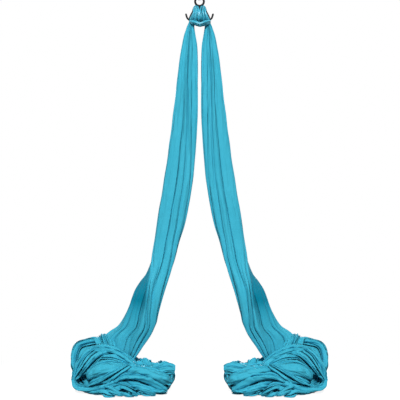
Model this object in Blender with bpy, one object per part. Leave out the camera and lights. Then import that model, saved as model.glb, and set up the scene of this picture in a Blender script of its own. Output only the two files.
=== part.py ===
"""Aerial silks: one long cloth hitched at its middle on a rescue figure-8, which hangs in a carabiner.

Metres, +Z up. The origin is where the carabiner hangs: the top of the inside of its bow.
The viewer is on the -Y side. The carabiner lies in the YZ plane, the figure-8 in the XZ plane,
and the left and right halves of the cloth mirror each other across X = 0.
"""

import math

import bmesh
import bpy
from mathutils import Matrix, Vector

# General
X_AXIS = Vector((1, 0, 0))
FORWARD = Vector((0, -1, 0))
GAP = 0.0003  # clearance between pieces that touch
CUT_EXCESS = 0.004  # how far a cutter reaches past the face that it cuts

# Carabiner
LINK_BAR = 0.012  # diameter of the carabiner's bar
LINK_INSIDE = 0.0865  # inside height, from the hang point to the ring's seat
LINK_WIDTH = 0.060  # outside width, from the gate's side to the spine
LINK_SIDES = 16
LINK_ARC_STEPS = 14
NOSE_DROP = 0.005  # straight length of the bar below the top bow, at the nose
HINGE_RISE = 0.006  # from the bottom bow's end up to the hinge axis
TONGUE_THICKNESS = 0.005
TONGUE_RADIUS = 0.005  # rounded end of the hinge tongue
TONGUE_STEPS = 26
CAM_RISE_PER_RAD = 0.0046  # how the cam on the tongue grows as the gate opens
CAM_ANGLE = math.radians(40)
GATE_DIAMETER = 0.0105
GATE_FLATS = 0.0088  # thickness of the gate across the flats beside the hinge
GATE_TIP_PLAY = 0.0007  # between the gate's tip and the nose
GATE_TIP_TAPER = 0.88  # the tip's radius, as a share of the gate's
LATCH_DROP = 0.0032  # latch pin's axis below the gate's tip
LATCH_LIP = 0.0018  # material of the nose's tongue below the latch slot
LATCH_PLAY = 0.0005
LATCH_SWING_PLAY = 0.0006  # more play below the pin, which sinks as the gate swings
PIN_DIAMETER = 0.0026
PIN_LENGTH = 0.0092
RIVET_DIAMETER = 0.0032
RIVET_HEAD = 0.0052
RIVET_HEAD_HEIGHT = 0.0009
RIVET_HEAD_TOP = 0.72  # the head's flat top, as a share of its diameter
RIVET_HEAD_EDGE = 0.45  # height of the head's straight edge, as a share of its height
NOSE_TONGUE = (0.0034, 0.0090)  # thickness and depth of the nose's tongue inside the gate's slot
BORE_DIAMETER = 0.0048  # the spring's bore inside the gate
BORE_DEPTH = 0.0185
SPRING_WIRE = 0.0006
SPRING_TURNS = 8
SPRING_TURN_POINTS = 8
SPRING_SIDES = 6
PLUNGER_HEAD = 0.0022  # height of the plunger's head
PLUNGER_STEM = 0.0024
PLUNGER_TIP = (18, 45, 70)  # degrees round the ball end where its rings of points lie
PLUNGER_PLAY = 0.0005  # between the plunger's tip and the cam
STOP_RING_DIAMETER = 0.0132
STOP_RING_HEIGHT = 0.0020
SLEEVE_DIAMETER = 0.0150
SLEEVE_LENGTH = 0.0140
SLEEVE_GROOVES = 3
SLEEVE_GROOVE = (0.0012, 0.0005)  # height and depth of a finger groove
TURNED_SIDES = 24

# Rescue figure-8
RING_HOLE = 0.033  # hole of the small ring
EIGHT_BAR = 0.0108  # bar seen from the front
EIGHT_THICKNESS = 0.012  # bar from front to back
EIGHT_SIDES = 12
RING_STEPS = 32
NECK_WIDTH = 0.017
BIG_RING_TOP = 0.0313  # from the small ring's centre down to the top bar of the big ring
BIG_RING_SHOULDER = (0.0235, 0.0403)
BIG_RING_SLOPE = (0.0360, 0.0573)
BIG_RING_SIDE = (0.0465, 0.0788)
BIG_RING_WIDEST = (0.0485, 0.0938)
BIG_RING_CORNER = (0.0385, 0.1088)
BIG_RING_BOTTOM = 0.1168
EAR_BAR = 0.0095
EAR_TIP_SIZES = (0.94, 0.74, 0.36)  # the bar's size at its rounded tip, one after another
EAR_TIP_STEPS = (0.27, 0.16)  # how far apart those are, as shares of the bar
EAR_ELBOW = (0.0610, 0.0830)
EAR_TIP = (0.0675, 0.0640)

# Cloth
HITCH_SIDES = 10
BAND_DROP = 0.1055  # from the small ring's centre down to the band in front
BAND_HEIGHT = 0.030
BAND_THICKNESS = 0.019
BAND_DIP = 0.005  # how far the middle of the band sags
TAIL_TOP_DROP = 0.1433  # from the small ring's centre down to where the tails leave the hitch
TAIL_TOP_Y = -0.020
TAIL_SIDES = 36
TAIL_STEPS = 2  # sections between two points of the outline
TAIL_FOLDS = 9
TAIL_FOLD_DEPTH = 0.20  # depth of a fold, as a share of the section's half size
TAIL_TWIST = math.radians(45)  # how far the folds wind round a tail on its way down
HANG_HEIGHT = 2.0375  # from the floor up to the hang point
HEAP_HEIGHT = 0.2895  # from the floor up to where the tails end in the heaps
PILE_FOLD_DEPTH = 0.16
ROPE_SIDES = 24
ROPE_FOLDS = 6
ROPE_FOLD_DEPTH = 0.22
ROPE_TWIST = math.radians(60)
SEAM_WIDTH = 0.4  # width of the cutters that round the seam between hitch and tails
SEAM_SIDES = 120
FLOOR_CUTTER = 1.0  # half width of the cutter that flattens a heap where it lies on the floor
LOBE_SEGMENTS = (14, 8)  # round a lobe and from its top to its bottom
CLOTH_SHARP = 80  # degrees above which an edge of the cloth is shaded sharp

# Left edge, right edge and depth of the left tail at some shares of its length
TAIL_OUTLINE = [
    (0.000, -0.0680, -0.0215, 0.030),
    (0.043, -0.0900, -0.0120, 0.042),
    (0.096, -0.1030, -0.0075, 0.050),
    (0.202, -0.1175, -0.0075, 0.056),
    (0.415, -0.1625, -0.0225, 0.064),
    (0.522, -0.1875, -0.0330, 0.068),
    (0.629, -0.2125, -0.0620, 0.070),
    (0.735, -0.2330, -0.1025, 0.074),
    (0.842, -0.3020, -0.1525, 0.080),
    (0.948, -0.3730, -0.2025, 0.090),
    (1.000, -0.4380, -0.2330, 0.100),
]

# Left edge, right edge, front and back of the left heap's pile at some heights above the floor
PILE_OUTLINE = [
    (0.2575, -0.5200, -0.2480, -0.075, 0.065),
    (0.2325, -0.6050, -0.2580, -0.095, 0.090),
    (0.1975, -0.6430, -0.2700, -0.115, 0.110),
    (0.1175, -0.6460, -0.2800, -0.150, 0.125),
    (0.0475, -0.6380, -0.2700, -0.170, 0.125),
    (-0.0200, -0.6000, -0.2900, -0.150, 0.105),
]

# X, Y and height above the floor of the rope of cloth along the left heap's front,
# with its half height and half depth
FRONT_ROPE = [
    (-0.5900, -0.0650, 0.0725, 0.050, 0.055),
    (-0.5300, -0.1200, 0.0595, 0.060, 0.062),
    (-0.4400, -0.1480, 0.0575, 0.066, 0.066),
    (-0.3400, -0.1450, 0.0675, 0.074, 0.072),
    (-0.2600, -0.1300, 0.0735, 0.080, 0.078),
    (-0.1850, -0.1150, 0.0735, 0.080, 0.080),
    (-0.1300, -0.1050, 0.0675, 0.070, 0.072),
    (-0.1180, -0.1030, 0.0655, 0.052, 0.054),
]

# Centre, with its height above the floor, and half sizes of the left heap's rounded lobes
LOBES = [
    ((-0.4500, -0.1150, 0.1125), (0.0850, 0.0700, 0.0600)),
    ((-0.2700, -0.0650, 0.0925), (0.0480, 0.0750, 0.0620)),
    ((-0.1900, -0.0600, 0.0825), (0.0480, 0.0700, 0.0620)),
    ((-0.3600, -0.1800, 0.0245), (0.0950, 0.0450, 0.0400)),
]


def srgb(red, green, blue):
    """Linear colour of an 8-bit screen colour."""
    return tuple(((c / 255 + 0.055) / 1.055) ** 2.4 for c in (red, green, blue)) + (1.0,)


SILK_COLOUR = srgb(62, 178, 208)
BLACK_ANODISED = srgb(30, 31, 34)
DARK_STEEL = srgb(70, 66, 66)
BRIGHT_STEEL = srgb(165, 168, 172)


def start_empty():
    for old in list(bpy.data.objects):
        bpy.data.objects.remove(old, do_unlink=True)


def material(name, colour, roughness, metallic):
    made = bpy.data.materials.new(name)
    made.use_nodes = True
    shader = made.node_tree.nodes["Principled BSDF"]
    shader.inputs["Base Color"].default_value = colour
    shader.inputs["Roughness"].default_value = roughness
    shader.inputs["Metallic"].default_value = metallic
    made.diffuse_color = colour
    return made


def add_object(name, mesh_data, finish=None, location=(0, 0, 0), sharp=40):
    """Make a mesh object out of a bmesh, smooth shaded up to the sharp angle in degrees."""
    bmesh.ops.recalc_face_normals(mesh_data, faces=mesh_data.faces)
    mesh = bpy.data.meshes.new(name)
    mesh_data.to_mesh(mesh)
    mesh_data.free()
    mesh.shade_smooth()
    mesh.set_sharp_from_angle(angle=math.radians(sharp))
    made = bpy.data.objects.new(name, mesh)
    made.location = location
    if finish:
        mesh.materials.append(finish)
    bpy.context.collection.objects.link(made)
    return made


def loft(rings, closed=False):
    """A bmesh through rings of points, all with as many points; closed joins last to first."""
    bm = bmesh.new()
    loops = [[bm.verts.new(point) for point in ring] for ring in rings]
    sides = len(loops[0])
    pairs = list(zip(loops, loops[1:]))
    if closed:
        pairs.append((loops[-1], loops[0]))
    for low, high in pairs:
        for i in range(sides):
            j = (i + 1) % sides
            bm.faces.new((low[i], low[j], high[j], high[i]))
    if not closed:
        bm.faces.new(list(reversed(loops[0])))
        bm.faces.new(loops[-1])
    return bm


def smooth_path(points, steps, closed=False):
    """A Catmull-Rom curve through the points, with that many steps between each two."""
    points = [Vector(p) for p in points]
    count = len(points)
    out = []
    for i in range(count if closed else count - 1):
        a = points[(i - 1) % count] if closed else points[max(i - 1, 0)]
        b = points[i]
        c = points[(i + 1) % count]
        d = points[(i + 2) % count] if closed else points[min(i + 2, count - 1)]
        for k in range(steps):
            t = k / steps
            bend = 2 * a - 5 * b + 4 * c - d
            out.append(0.5 * (2 * b + (c - a) * t + bend * t**2 + (3 * b - a - 3 * c + d) * t**3))
    if not closed:
        out.append(points[-1])
    return out


def mirrored(point, side):
    """A point of the left half, or for side 1 its mirror image on the right."""
    return Vector((-side * point[0], point[1], point[2]))


def tangents(path, closed=False):
    count = len(path)
    out = []
    for i in range(count):
        before = path[(i - 1) % count] if closed or i else path[0]
        after = path[(i + 1) % count] if closed or i < count - 1 else path[-1]
        out.append((after - before).normalized())
    return out


def bar(path, width, thickness, across, sides, closed=False, sizes=None):
    """A rounded bar along a path. thickness lies along the vector across, width square to it.

    sizes, if given, scales the section at each point of the path.
    """
    across = Vector(across)
    rings = []
    for i, (point, tangent) in enumerate(zip(path, tangents(path, closed))):
        flat = tangent.cross(across).normalized()
        thick = flat.cross(tangent).normalized()
        size = sizes[i] if sizes else 1.0
        ring = []
        for k in range(sides):
            angle = 2 * math.pi * (k + 0.5) / sides
            ring.append(
                point
                + flat * (width / 2 * size * math.cos(angle))
                + thick * (thickness / 2 * size * math.sin(angle))
            )
        rings.append(ring)
    return loft(rings, closed)


def turned(profile, sides, centre, hollow=False):
    """A solid turned round a vertical axis through centre, from (radius, height) pairs.

    A hollow profile runs round a closed section; a full one runs from bottom to top.
    """
    centre = Vector(centre)
    rings = []
    for radius, height in profile:
        ring = []
        for k in range(sides):
            angle = 2 * math.pi * (k + 0.5) / sides
            ring.append(centre + Vector((radius * math.cos(angle), radius * math.sin(angle), height)))
        rings.append(ring)
    return loft(rings, closed=hollow)


def box(low, high):
    bm = bmesh.new()
    bmesh.ops.create_cube(bm, size=1)
    low = Vector(low)
    high = Vector(high)
    bmesh.ops.scale(bm, vec=high - low, verts=bm.verts)
    bmesh.ops.translate(bm, vec=(low + high) / 2, verts=bm.verts)
    return bm


def cross_pin(radius, length, centre, sides=TURNED_SIDES):
    """A round pin along X."""
    bm = bmesh.new()
    bmesh.ops.create_cone(bm, cap_ends=True, segments=sides, radius1=radius, radius2=radius, depth=length)
    bmesh.ops.rotate(bm, matrix=Matrix.Rotation(math.pi / 2, 3, "Y"), verts=bm.verts)
    bmesh.ops.translate(bm, vec=centre, verts=bm.verts)
    return bm


def as_tool(helper):
    """Keep an object only as another one's cutter or addition."""
    helper.hide_render = True
    helper.display_type = "WIRE"


def combine(target, helper, operation, folded=False):
    """Add or cut away the helper; folded is for cloth, whose sections may cross at a tight bend."""
    change = target.modifiers.new(helper.name, "BOOLEAN")
    change.operation = operation
    change.solver = "EXACT"
    change.use_self = folded
    change.object = helper
    as_tool(helper)


# Places on the carabiner, worked out from the sizes above
BOW_RADIUS = (LINK_WIDTH - LINK_BAR) / 2
GATE_Y = -BOW_RADIUS
TOP_BOW_Z = LINK_BAR / 2 - BOW_RADIUS
BOTTOM_BOW_Z = -LINK_INSIDE - LINK_BAR / 2 + BOW_RADIUS
NOSE_Z = TOP_BOW_Z - NOSE_DROP
HINGE_Z = BOTTOM_BOW_Z + HINGE_RISE
TIP_Z = NOSE_Z - GATE_TIP_PLAY
LATCH_Z = TIP_Z - LATCH_DROP
NOSE_TONGUE_Z = LATCH_Z - PIN_DIAMETER / 2 - LATCH_PLAY - LATCH_SWING_PLAY - LATCH_LIP
CAM_REACH = TONGUE_RADIUS + CAM_RISE_PER_RAD * CAM_ANGLE
WEB_Z = HINGE_Z + CAM_REACH + GAP  # where the gate is solid between its cheeks
STOP_RING_Z = WEB_Z + GAP
SLEEVE_Z = STOP_RING_Z + STOP_RING_HEIGHT + GAP
BORE_TOP = WEB_Z + BORE_DEPTH

# Places on the figure-8
RING_Z = -LINK_INSIDE + GAP - RING_HOLE / 2
RING_RADIUS = (RING_HOLE + EIGHT_BAR) / 2
SWING_Z = RING_Z + RING_RADIUS  # the ring's top arc rocks on the carabiner's bar

# Places on the cloth; the seam between hitch and tails is round about the swing axis
TAIL_TOP = RING_Z - TAIL_TOP_DROP
FLOOR = -HANG_HEIGHT
TAIL_END = FLOOR + HEAP_HEIGHT
SEAM_RADIUS = math.hypot(SWING_Z - TAIL_TOP, TAIL_TOP_Y)


def build_carabiner_body(finish):
    path = []
    path.append(Vector((0, GATE_Y, NOSE_Z)))
    for k in range(LINK_ARC_STEPS + 1):
        angle = math.pi - math.pi * k / LINK_ARC_STEPS
        path.append(Vector((0, BOW_RADIUS * math.cos(angle), TOP_BOW_Z + BOW_RADIUS * math.sin(angle))))
    for k in range(LINK_ARC_STEPS + 1):
        angle = -math.pi * k / LINK_ARC_STEPS
        path.append(Vector((0, BOW_RADIUS * math.cos(angle), BOTTOM_BOW_Z + BOW_RADIUS * math.sin(angle))))
    body = add_object("carabiner_body", bar(path, LINK_BAR, LINK_BAR, (1, 0, 0), LINK_SIDES), finish)

    tongue = add_object("hinge_tongue", hinge_tongue())
    combine(body, tongue, "UNION")
    hole = add_object("rivet_hole", cross_pin(RIVET_DIAMETER / 2 + GAP, 2 * LINK_BAR, (0, GATE_Y, HINGE_Z)))
    combine(body, hole, "DIFFERENCE")

    thick, deep = NOSE_TONGUE
    nose = add_object(
        "nose_tongue",
        box(
            (-thick / 2, GATE_Y - deep / 2, NOSE_TONGUE_Z),
            (thick / 2, GATE_Y + deep / 2, NOSE_Z + CUT_EXCESS),
        ),
    )
    combine(body, nose, "UNION")
    slot_low = LATCH_Z - PIN_DIAMETER / 2 - LATCH_PLAY - LATCH_SWING_PLAY
    slot_high = LATCH_Z + PIN_DIAMETER / 2 + LATCH_PLAY
    slot = add_object(
        "latch_slot",
        box(
            (-thick, GATE_Y - PIN_DIAMETER / 2 - LATCH_PLAY, slot_low),
            (thick, GATE_Y + deep, slot_high),
        ),
    )
    combine(body, slot, "DIFFERENCE")
    return body


def hinge_tongue():
    """The flat tongue that the gate turns on: a rounded end with the plunger's cam on it."""
    outline = [(-TONGUE_RADIUS, BOTTOM_BOW_Z - CUT_EXCESS - HINGE_Z)]
    for k in range(TONGUE_STEPS + 1):
        angle = -math.pi / 2 + math.pi * k / TONGUE_STEPS
        rise = CAM_RISE_PER_RAD * min(max(angle, 0), CAM_ANGLE)
        fall = max(angle - CAM_ANGLE, 0) / (math.pi / 2 - CAM_ANGLE)
        radius = TONGUE_RADIUS + rise * (1 - fall)
        outline.append((radius * math.sin(angle), radius * math.cos(angle)))
    outline.append((TONGUE_RADIUS, BOTTOM_BOW_Z - CUT_EXCESS - HINGE_Z))
    rings = []
    for x in (-TONGUE_THICKNESS / 2, TONGUE_THICKNESS / 2):
        rings.append([Vector((x, GATE_Y + y, HINGE_Z + z)) for y, z in outline])
    return loft(rings)


def build_gate(finish):
    radius = GATE_DIAMETER / 2
    profile = [(radius, HINGE_Z), (radius, TIP_Z - LATCH_LIP / 2), (radius * GATE_TIP_TAPER, TIP_Z)]
    gate = add_object("carabiner_gate", turned(profile, TURNED_SIDES, (0, GATE_Y, 0)), finish)
    cheek = add_object("gate_cheeks", cross_pin(radius, GATE_FLATS, (0, GATE_Y, HINGE_Z), 32))
    combine(gate, cheek, "UNION")

    half_slot = TONGUE_THICKNESS / 2 + GAP
    slot = add_object("hinge_slot", cross_pin(CAM_REACH + GAP, 2 * half_slot, (0, GATE_Y, HINGE_Z), 48))
    combine(gate, slot, "DIFFERENCE")
    for side in (-1, 1):
        near = side * GATE_FLATS / 2
        far = side * GATE_DIAMETER
        flat = add_object(
            "gate_flat",
            box(
                (min(near, far), GATE_Y - GATE_DIAMETER, HINGE_Z - GATE_DIAMETER),
                (max(near, far), GATE_Y + GATE_DIAMETER, HINGE_Z + radius),
            ),
        )
        combine(gate, flat, "DIFFERENCE")
    bore = cross_pin(RIVET_DIAMETER / 2 + GAP, 2 * LINK_BAR, (0, GATE_Y, HINGE_Z))
    combine(gate, add_object("gate_rivet_hole", bore), "DIFFERENCE")
    bore = [(BORE_DIAMETER / 2, WEB_Z - CUT_EXCESS), (BORE_DIAMETER / 2, BORE_TOP)]
    combine(gate, add_object("spring_bore", turned(bore, TURNED_SIDES, (0, GATE_Y, 0))), "DIFFERENCE")

    half_mouth = NOSE_TONGUE[0] / 2 + GAP
    mouth = add_object(
        "latch_mouth",
        box(
            (-half_mouth, GATE_Y - GATE_DIAMETER, NOSE_TONGUE_Z - GATE_TIP_PLAY),
            (half_mouth, GATE_Y + GATE_DIAMETER, TIP_Z + CUT_EXCESS),
        ),
    )
    combine(gate, mouth, "DIFFERENCE")
    pin_hole = add_object("pin_hole", cross_pin(PIN_DIAMETER / 2 + GAP, 2 * LINK_BAR, (0, GATE_Y, LATCH_Z)))
    combine(gate, pin_hole, "DIFFERENCE")
    return gate


def build_rivet(finish):
    seat = GATE_FLATS / 2 + GAP
    rings = []
    shape = [
        (-seat - RIVET_HEAD_HEIGHT, RIVET_HEAD * RIVET_HEAD_TOP / 2),
        (-seat - RIVET_HEAD_HEIGHT * RIVET_HEAD_EDGE, RIVET_HEAD / 2),
        (-seat, RIVET_HEAD / 2),
        (-seat, RIVET_DIAMETER / 2),
        (seat, RIVET_DIAMETER / 2),
        (seat, RIVET_HEAD / 2),
        (seat + RIVET_HEAD_HEIGHT * RIVET_HEAD_EDGE, RIVET_HEAD / 2),
        (seat + RIVET_HEAD_HEIGHT, RIVET_HEAD * RIVET_HEAD_TOP / 2),
    ]
    sides = 20
    for x, radius in shape:
        ring = []
        for k in range(sides):
            angle = 2 * math.pi * k / sides
            ring.append(Vector((x, radius * math.cos(angle), radius * math.sin(angle))))
        rings.append(ring)
    return add_object("gate_hinge_rivet", loft(rings), finish, (0, GATE_Y, HINGE_Z))


def build_latch_pin(finish):
    mesh_data = cross_pin(PIN_DIAMETER / 2, PIN_LENGTH, (0, 0, 0), 16)
    return add_object("gate_latch_pin", mesh_data, finish, (0, GATE_Y, LATCH_Z))


def build_plunger(finish):
    """A pin with a round tip on the cam and a wider head under the spring."""
    tip = TONGUE_RADIUS + PLUNGER_PLAY
    stem = PLUNGER_STEM / 2
    head = BORE_DIAMETER / 2 - GAP
    head_low = WEB_Z - HINGE_Z + GAP
    profile = []
    for degrees in PLUNGER_TIP:
        angle = math.radians(degrees)
        profile.append((stem * math.sin(angle), tip + stem * (1 - math.cos(angle))))
    profile += [(stem, tip + stem), (stem, head_low), (head, head_low), (head, head_low + PLUNGER_HEAD)]
    return add_object("gate_plunger", turned(profile, 16, (0, 0, 0)), finish, (0, GATE_Y, HINGE_Z))


def build_spring(finish):
    """A coil spring between the plunger's head and the top of the bore."""
    low = WEB_Z + GAP + PLUNGER_HEAD + GAP + SPRING_WIRE / 2
    high = BORE_TOP - GAP - SPRING_WIRE / 2
    coil = BORE_DIAMETER / 2 - GAP - SPRING_WIRE / 2
    steps = SPRING_TURNS * SPRING_TURN_POINTS
    path = []
    for k in range(steps + 1):
        angle = 2 * math.pi * k / SPRING_TURN_POINTS
        path.append(Vector((coil * math.cos(angle), coil * math.sin(angle), (high - low) * k / steps)))
    mesh_data = bar(path, SPRING_WIRE, SPRING_WIRE, (0, 0, 1), SPRING_SIDES)
    return add_object("gate_spring", mesh_data, finish, (0, GATE_Y, low))


def build_stop_ring(finish):
    inner = GATE_DIAMETER / 2 + GAP
    outer = STOP_RING_DIAMETER / 2
    profile = [(inner, 0), (outer, 0), (outer, STOP_RING_HEIGHT), (inner, STOP_RING_HEIGHT)]
    mesh_data = turned(profile, TURNED_SIDES, (0, 0, 0), hollow=True)
    return add_object("sleeve_stop_ring", mesh_data, finish, (0, GATE_Y, STOP_RING_Z))


def build_sleeve(finish):
    inner = GATE_DIAMETER / 2 + GAP
    outer = SLEEVE_DIAMETER / 2
    high, deep = SLEEVE_GROOVE
    profile = [(inner, 0), (outer - deep, 0), (outer, deep)]
    pitch = SLEEVE_LENGTH / (SLEEVE_GROOVES + 1)
    for k in range(SLEEVE_GROOVES):
        middle = pitch * (k + 1)
        profile += [
            (outer, middle - high / 2),
            (outer - deep, middle - high / 4),
            (outer - deep, middle + high / 4),
            (outer, middle + high / 2),
        ]
    profile += [(outer, SLEEVE_LENGTH - deep), (outer - deep, SLEEVE_LENGTH), (inner, SLEEVE_LENGTH)]
    mesh_data = turned(profile, TURNED_SIDES, (0, 0, 0), hollow=True)
    return add_object("locking_sleeve", mesh_data, finish, (0, GATE_Y, SLEEVE_Z))


def build_eight(name, grow=0.0, finish=None):
    """The rescue figure-8, its bars thicker by grow all round."""
    width = EIGHT_BAR + 2 * grow
    thickness = EIGHT_THICKNESS + 2 * grow
    small = []
    for k in range(RING_STEPS):
        angle = 2 * math.pi * k / RING_STEPS
        small.append(Vector((RING_RADIUS * math.cos(angle), 0, RING_Z + RING_RADIUS * math.sin(angle))))
    eight = add_object(name, bar(small, width, thickness, (0, 1, 0), EIGHT_SIDES, closed=True), finish)

    left = [BIG_RING_SHOULDER, BIG_RING_SLOPE, BIG_RING_SIDE, BIG_RING_WIDEST, BIG_RING_CORNER]
    points = [(0, 0, RING_Z - BIG_RING_TOP)]
    points += [(x, 0, RING_Z - drop) for x, drop in left]
    points += [(0, 0, RING_Z - BIG_RING_BOTTOM)]
    points += [(-x, 0, RING_Z - drop) for x, drop in reversed(left)]
    big = smooth_path(points, 3, closed=True)
    big_ring = add_object(name + "_big_ring", bar(big, width, thickness, (0, 1, 0), EIGHT_SIDES, closed=True))
    combine(eight, big_ring, "UNION")

    neck_path = [Vector((0, 0, RING_Z - RING_RADIUS)), Vector((0, 0, RING_Z - BIG_RING_TOP))]
    neck = bar(neck_path, NECK_WIDTH + 2 * grow, thickness * 0.98, (0, 1, 0), EIGHT_SIDES)
    combine(eight, add_object(name + "_neck", neck), "UNION")

    for side in (-1, 1):
        route = [BIG_RING_WIDEST, EAR_ELBOW, EAR_TIP]
        ear = smooth_path([(side * x, 0, RING_Z - drop) for x, drop in route], 5)
        sizes = [1.0] * (len(ear) - 1) + list(EAR_TIP_SIZES)
        last = (ear[-1] - ear[-2]).normalized()
        for step in EAR_TIP_STEPS:
            ear.append(ear[-1] + last * (EAR_BAR * step + grow / 2))
        mesh_data = bar(ear, EAR_BAR + 2 * grow, EAR_BAR + 2 * grow, (0, 1, 0), EIGHT_SIDES, sizes=sizes)
        combine(eight, add_object(name + "_ear", mesh_data), "UNION")
    return eight


def strand(route, steps, sides):
    """A padded strand of folded cloth.

    Each point of the route has its place, the way its width lies, its width and its thickness.
    """
    path = smooth_path([place for place, _, _, _ in route], steps)
    ways = smooth_path([way for _, way, _, _ in route], steps)
    sizes = smooth_path([(width, thickness, 0) for _, _, width, thickness in route], steps)
    rings = []
    for point, tangent, way, size in zip(path, tangents(path), ways, sizes):
        wide = (way - tangent * way.dot(tangent)).normalized()
        thick = tangent.cross(wide).normalized()
        ring = []
        for k in range(sides):
            angle = 2 * math.pi * (k + 0.5) / sides
            ring.append(
                point + wide * (size[0] / 2 * math.cos(angle)) + thick * (size[1] / 2 * math.sin(angle))
            )
        rings.append(ring)
    return loft(rings)


def build_hitch(finish):
    """The cloth's middle: up in front, over the shoulders, down behind and across as a band.

    Heights on its route are drops below the small ring's centre.
    """
    sideways = (1, 0, 0)
    corner = (0.7, 0.7, 0)
    backward = (0, 1, 0)
    left_half = [
        ((-0.0448, TAIL_TOP_Y, TAIL_TOP_DROP + CUT_EXCESS), sideways, 0.046, 0.030),
        ((-0.0350, -0.0200, 0.1123), sideways, 0.050, 0.026),
        ((-0.0270, -0.0200, 0.0823), sideways, 0.053, 0.026),
        ((-0.0215, -0.0180, 0.0503), sideways, 0.043, 0.025),
        ((-0.0200, -0.0010, 0.0253), sideways, 0.033, 0.022),
        ((-0.0240, 0.0160, 0.0473), sideways, 0.040, 0.021),
        ((-0.0310, 0.0180, 0.0773), sideways, 0.042, 0.021),
        ((-0.0420, 0.0160, 0.1003), sideways, 0.034, 0.022),
        ((-0.0525, 0.0000, 0.1083), sideways, 0.024, 0.024),
        ((-0.0530, -0.0260, 0.1078), sideways, 0.022, 0.027),
        ((-0.0410, -0.0440, BAND_DROP), corner, BAND_THICKNESS, BAND_HEIGHT),
        ((-0.0180, -0.0490, BAND_DROP), backward, BAND_THICKNESS, BAND_HEIGHT),
        ((0.0, -0.0500, BAND_DROP + BAND_DIP), backward, BAND_THICKNESS, BAND_HEIGHT * 0.88),
        ((0.0080, -0.0500, BAND_DROP + BAND_DIP), backward, BAND_THICKNESS * 0.8, BAND_HEIGHT * 0.7),
    ]
    hitch = None
    for side in (-1, 1):
        route = []
        for (x, y, drop), way, *size in left_half:
            route.append((mirrored((x, y, RING_Z - drop), side), mirrored(way, side), *size))
        name = "silk_hitch" if hitch is None else "right_strand"
        half = add_object(name, strand(route, 2, HITCH_SIDES), finish)
        if hitch is None:
            hitch = half
        else:
            combine(hitch, half, "UNION", folded=True)
    combine(hitch, build_eight("eight_clearance", GAP), "DIFFERENCE", folded=True)
    swing = cross_pin(SEAM_RADIUS, SEAM_WIDTH, (0, 0, SWING_Z), SEAM_SIDES)
    combine(hitch, add_object("hitch_swing_room", swing), "INTERSECT")
    return hitch


def fluted_ring(centre, wide, deep, half_width, half_depth, turn, sides, folds, depth):
    """A closed ring with folds round it, which the angle turn winds round."""
    ring = []
    for k in range(sides):
        angle = 2 * math.pi * (k + 0.5) / sides
        groove = (0.5 + 0.5 * math.cos(folds * (angle + turn))) ** 2
        size = 1 - depth * groove
        across = wide * (half_width * size * math.cos(angle))
        ring.append(centre + across + deep * (half_depth * size * math.sin(angle)))
    return ring


def tail_sections():
    """Centre, half width and half depth of the left tail's sections, from the top down."""
    sections = []
    for share, left, right, depth in smooth_path(TAIL_OUTLINE, TAIL_STEPS):
        height = TAIL_TOP + (TAIL_END - TAIL_TOP) * share
        centre = Vector(((left + right) / 2, TAIL_TOP_Y * (1 - share), height))
        sections.append((centre, (right - left) / 2, depth / 2, TAIL_TWIST * share))
    return sections


def build_tail(name, side, finish):
    """A tail, whose top is hollowed round the swing axis so that the hitch can swing over it."""
    sections = tail_sections()
    centre, *size = sections[0]
    sections.insert(0, (centre + Vector((0, 0, CUT_EXCESS)), *size))
    rings = []
    for centre, half_width, half_depth, turn in sections:
        ring = fluted_ring(
            centre, X_AXIS, FORWARD, half_width, half_depth, turn, TAIL_SIDES, TAIL_FOLDS, TAIL_FOLD_DEPTH
        )
        rings.append([mirrored(point, side) for point in ring])
    tail = add_object(name, loft(rings), finish, sharp=CLOTH_SHARP)
    swing = cross_pin(SEAM_RADIUS + GAP, SEAM_WIDTH, (0, 0, SWING_Z), SEAM_SIDES)
    combine(tail, add_object(name + "_swing_room", swing), "DIFFERENCE")
    return tail


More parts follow.
